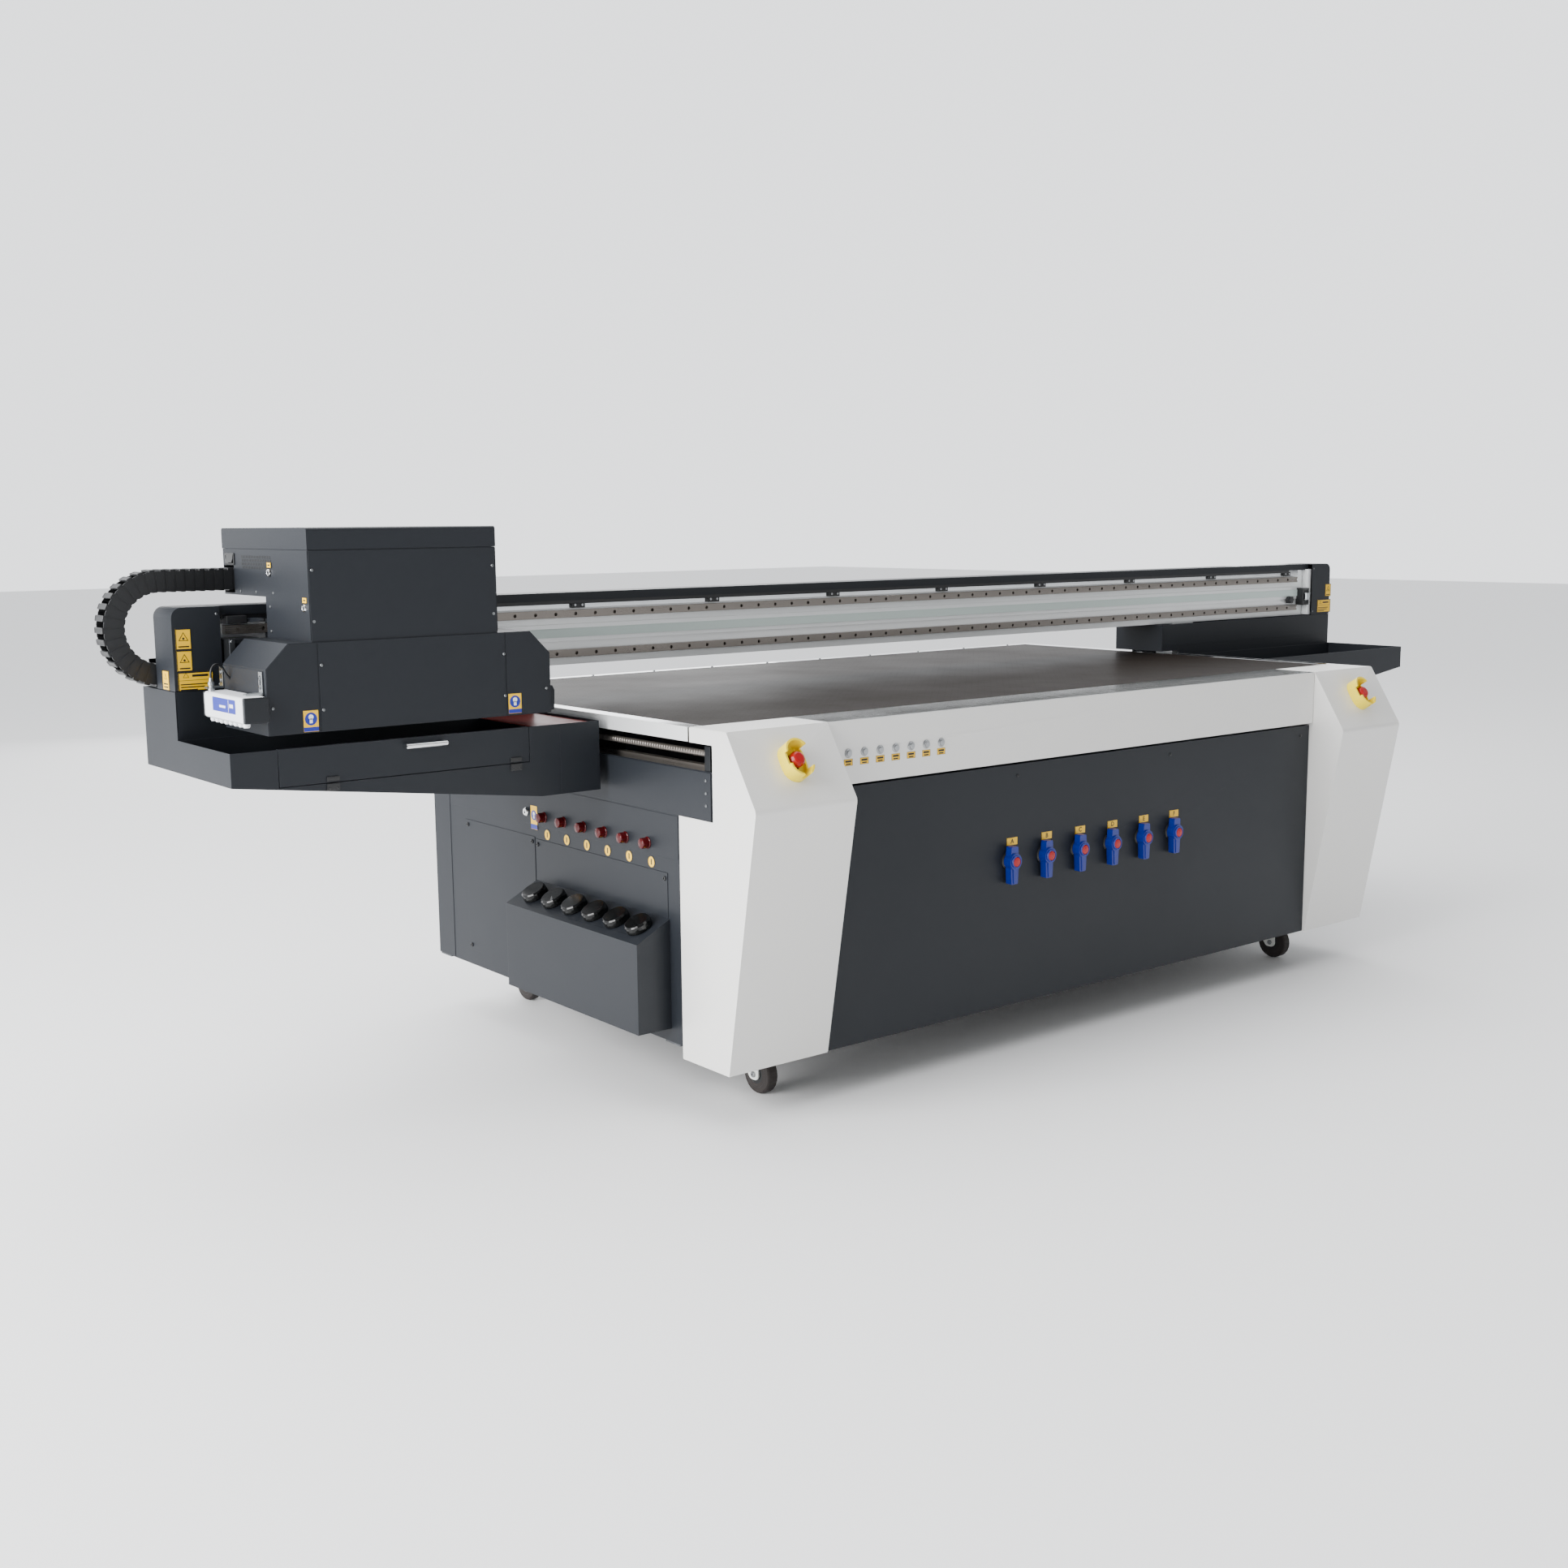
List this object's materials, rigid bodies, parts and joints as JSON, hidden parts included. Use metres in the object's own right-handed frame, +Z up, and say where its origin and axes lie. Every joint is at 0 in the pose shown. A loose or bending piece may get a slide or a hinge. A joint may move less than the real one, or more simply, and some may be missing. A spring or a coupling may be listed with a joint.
{
  "type": "flatbed uv printer",
  "caption": "Large flatbed UV printer with a moving gantry on a vacuum bed, a sliding print carriage, end trays, ink box, valves and braked casters.",
  "frame": {"origin": "middle of the footprint, on the floor", "axes": "+X along the bed towards the right end, +Y to the back, +Z up; millimetres in the solids, metres in the record"},
  "size_m": [4.48, 1.8988, 1.38],
  "materials": {
    "dark_paint": "fine satin powder coat",
    "light_paint": "satin silver-grey paint",
    "steel_tube": "dull paint over welded tube",
    "bed_plate": "hard anodised, brown grey",
    "beam_metal": "satin anodised",
    "rail_steel": "ground",
    "black_plastic": "moulded",
    "blue_plastic": "moulded",
    "red_plastic": "moulded",
    "button_metal": "turned stainless steel",
    "fork_zinc": "pressed steel, pale coat",
    "wheel_rubber": "dark brown rubber",
    "lamp_metal": "black anodised",
    "head_plate": "milled"
  },
  "bodies": {
    "base": {"base_frame": "steel_tube", "left_end_panel": "dark_paint", "right_end_panel": "dark_paint", "rear_panel": "dark_paint", "front_panel": "dark_paint", "front_apron": "light_paint", "left_leg_cover": "light_paint", "right_leg_cover": "light_paint", "vacuum_bed": "bed_plate", "ink_box": "dark_paint", "y_rail_left": "rail_steel", "y_rail_right": "rail_steel"},
    "gantry": {"gantry_beam": "beam_metal", "x_rail_upper": "rail_steel", "x_rail_lower": "rail_steel", "beam_cover": "dark_paint", "gantry_end_left": "dark_paint", "gantry_end_right": "dark_paint", "foot_cover_right": "dark_paint", "station_tray": "dark_paint", "right_tray": "dark_paint", "cable_chain_lower": "black_plastic"},
    "tray_door": {"tray_door": "dark_paint"},
    "carriage": {"carriage_box": "dark_paint", "cable_chain_upper": "black_plastic"},
    "lid": {"carriage_lid": "dark_paint"},
    "head": {"head_skirt": "dark_paint", "print_head_plate": "head_plate", "uv_lamp_left": "lamp_metal", "uv_lamp_right": "lamp_metal"},
    "chain_loop": {"cable_chain_loop": "black_plastic"},
    "valve_a": {"vacuum_valve_a": "blue_plastic"},
    "valve_b": {"vacuum_valve_b": "blue_plastic"},
    "valve_c": {"vacuum_valve_c": "blue_plastic"},
    "valve_d": {"vacuum_valve_d": "blue_plastic"},
    "valve_e": {"vacuum_valve_e": "blue_plastic"},
    "valve_f": {"vacuum_valve_f": "blue_plastic"},
    "button_1": {"push_button_1": "button_metal"},
    "button_2": {"push_button_2": "button_metal"},
    "button_3": {"push_button_3": "button_metal"},
    "button_4": {"push_button_4": "button_metal"},
    "button_5": {"push_button_5": "button_metal"},
    "button_6": {"push_button_6": "button_metal"},
    "button_7": {"push_button_7": "button_metal"},
    "stop_left": {"emergency_stop_left": "red_plastic"},
    "stop_right": {"emergency_stop_right": "red_plastic"},
    "cap_1": {"ink_cap_1": "black_plastic"},
    "cap_2": {"ink_cap_2": "black_plastic"},
    "cap_3": {"ink_cap_3": "black_plastic"},
    "cap_4": {"ink_cap_4": "black_plastic"},
    "cap_5": {"ink_cap_5": "black_plastic"},
    "cap_6": {"ink_cap_6": "black_plastic"},
    "fork_front_left": {"caster_fork_front_left": "fork_zinc"},
    "wheel_front_left": {"caster_wheel_front_left": "wheel_rubber"},
    "fork_front_right": {"caster_fork_front_right": "fork_zinc"},
    "wheel_front_right": {"caster_wheel_front_right": "wheel_rubber"},
    "fork_back_left": {"caster_fork_back_left": "fork_zinc"},
    "wheel_back_left": {"caster_wheel_back_left": "wheel_rubber"},
    "fork_back_right": {"caster_fork_back_right": "fork_zinc"},
    "wheel_back_right": {"caster_wheel_back_right": "wheel_rubber"}
  },
  "joints": [
    {"name": "gantry_slide", "type": "slide", "parent": "base", "child": "gantry", "axis": [0, 1, 0], "range_m": [-0.45, 0.75]},
    {"name": "carriage_slide", "type": "slide", "parent": "gantry", "child": "carriage", "axis": [1, 0, 0], "range_m": [0, 3.3], "deforming": ["cable_chain_upper"]},
    {"name": "chain_slide", "type": "slide", "parent": "gantry", "child": "chain_loop", "axis": [1, 0, 0], "range_m": [0, 1.65], "deforming": ["cable_chain_lower"]},
    {"name": "head_lift", "type": "slide", "parent": "carriage", "child": "head", "axis": [0, 0, 1], "range_m": [0, 0.1]},
    {"name": "lid_hinge", "type": "hinge", "parent": "carriage", "child": "lid", "pos_m": [-1.705, 0.11341, 1.3333], "axis": [-1, 0, 0], "range_deg": [0, 75]},
    {"name": "door_hinge", "type": "hinge", "parent": "gantry", "child": "tray_door", "pos_m": [-1.7135, -0.37059, 0.828], "axis": [1, 0, 0], "range_deg": [0, 90]},
    {"name": "valve_a_turn", "type": "hinge", "parent": "base", "child": "valve_a", "pos_m": [-0.269, -0.85059, 0.512], "axis": [0, 1, 0], "range_deg": [0, 90]},
    {"name": "valve_b_turn", "type": "hinge", "parent": "base", "child": "valve_b", "pos_m": [-0.139, -0.85059, 0.512], "axis": [0, 1, 0], "range_deg": [0, 90]},
    {"name": "valve_c_turn", "type": "hinge", "parent": "base", "child": "valve_c", "pos_m": [-0.009, -0.85059, 0.512], "axis": [0, 1, 0], "range_deg": [0, 90]},
    {"name": "valve_d_turn", "type": "hinge", "parent": "base", "child": "valve_d", "pos_m": [0.121, -0.85059, 0.512], "axis": [0, 1, 0], "range_deg": [0, 90]},
    {"name": "valve_e_turn", "type": "hinge", "parent": "base", "child": "valve_e", "pos_m": [0.251, -0.85059, 0.512], "axis": [0, 1, 0], "range_deg": [0, 90]},
    {"name": "valve_f_turn", "type": "hinge", "parent": "base", "child": "valve_f", "pos_m": [0.381, -0.85059, 0.512], "axis": [0, 1, 0], "range_deg": [0, 90]},
    {"name": "button_1_push", "type": "slide", "parent": "base", "child": "button_1", "axis": [0, 1, 0], "range_m": [0, 0.003], "stiffness_N_per_m": 400, "springref_m": -0.002},
    {"name": "button_2_push", "type": "slide", "parent": "base", "child": "button_2", "axis": [0, 1, 0], "range_m": [0, 0.003], "stiffness_N_per_m": 400, "springref_m": -0.002},
    {"name": "button_3_push", "type": "slide", "parent": "base", "child": "button_3", "axis": [0, 1, 0], "range_m": [0, 0.003], "stiffness_N_per_m": 400, "springref_m": -0.002},
    {"name": "button_4_push", "type": "slide", "parent": "base", "child": "button_4", "axis": [0, 1, 0], "range_m": [0, 0.003], "stiffness_N_per_m": 400, "springref_m": -0.002},
    {"name": "button_5_push", "type": "slide", "parent": "base", "child": "button_5", "axis": [0, 1, 0], "range_m": [0, 0.003], "stiffness_N_per_m": 400, "springref_m": -0.002},
    {"name": "button_6_push", "type": "slide", "parent": "base", "child": "button_6", "axis": [0, 1, 0], "range_m": [0, 0.003], "stiffness_N_per_m": 400, "springref_m": -0.002},
    {"name": "button_7_push", "type": "slide", "parent": "base", "child": "button_7", "axis": [0, 1, 0], "range_m": [0, 0.003], "stiffness_N_per_m": 400, "springref_m": -0.002},
    {"name": "stop_left_push", "type": "slide", "parent": "base", "child": "stop_left", "axis": [0, 0.8457, -0.5337], "range_m": [0, 0.004], "stiffness_N_per_m": 800, "springref_m": -0.003},
    {"name": "stop_right_push", "type": "slide", "parent": "base", "child": "stop_right", "axis": [0, 0.8457, -0.5337], "range_m": [0, 0.004], "stiffness_N_per_m": 800, "springref_m": -0.003},
    {"name": "cap_1_turn", "type": "hinge", "parent": "base", "child": "cap_1", "pos_m": [-1.2275, -0.55459, 0.4315], "axis": [-0.4584, 0, 0.8887], "range_deg": [0, 360]},
    {"name": "cap_2_turn", "type": "hinge", "parent": "base", "child": "cap_2", "pos_m": [-1.2275, -0.45899, 0.4315], "axis": [-0.4584, 0, 0.8887], "range_deg": [0, 360]},
    {"name": "cap_3_turn", "type": "hinge", "parent": "base", "child": "cap_3", "pos_m": [-1.2275, -0.36339, 0.4315], "axis": [-0.4584, 0, 0.8887], "range_deg": [0, 360]},
    {"name": "cap_4_turn", "type": "hinge", "parent": "base", "child": "cap_4", "pos_m": [-1.2275, -0.26779, 0.4315], "axis": [-0.4584, 0, 0.8887], "range_deg": [0, 360]},
    {"name": "cap_5_turn", "type": "hinge", "parent": "base", "child": "cap_5", "pos_m": [-1.2275, -0.17219, 0.4315], "axis": [-0.4584, 0, 0.8887], "range_deg": [0, 360]},
    {"name": "cap_6_turn", "type": "hinge", "parent": "base", "child": "cap_6", "pos_m": [-1.2275, -0.07659, 0.4315], "axis": [-0.4584, 0, 0.8887], "range_deg": [0, 360]},
    {"name": "swivel_front_left", "type": "hinge", "parent": "base", "child": "fork_front_left", "pos_m": [-0.963, -0.64159, 0.13], "axis": [0, 0, 1], "continuous": true},
    {"name": "roll_front_left", "type": "hinge", "parent": "fork_front_left", "child": "wheel_front_left", "pos_m": [-0.963, -0.67659, 0.05], "axis": [1, 0, 0], "continuous": true},
    {"name": "swivel_front_right", "type": "hinge", "parent": "base", "child": "fork_front_right", "pos_m": [1.103, -0.64159, 0.13], "axis": [0, 0, 1], "continuous": true},
    {"name": "roll_front_right", "type": "hinge", "parent": "fork_front_right", "child": "wheel_front_right", "pos_m": [1.103, -0.67659, 0.05], "axis": [1, 0, 0], "continuous": true},
    {"name": "swivel_back_left", "type": "hinge", "parent": "base", "child": "fork_back_left", "pos_m": [-0.963, 0.46541, 0.13], "axis": [0, 0, 1], "continuous": true},
    {"name": "roll_back_left", "type": "hinge", "parent": "fork_back_left", "child": "wheel_back_left", "pos_m": [-0.963, 0.43041, 0.05], "axis": [1, 0, 0], "continuous": true},
    {"name": "swivel_back_right", "type": "hinge", "parent": "base", "child": "fork_back_right", "pos_m": [1.103, 0.46541, 0.13], "axis": [0, 0, 1], "continuous": true},
    {"name": "roll_back_right", "type": "hinge", "parent": "fork_back_right", "child": "wheel_back_right", "pos_m": [1.103, 0.43041, 0.05], "axis": [1, 0, 0], "continuous": true}
  ],
  "couplings": [
    {"joint": "chain_slide", "follows": "carriage_slide", "ratio": 0.5}
  ]
}
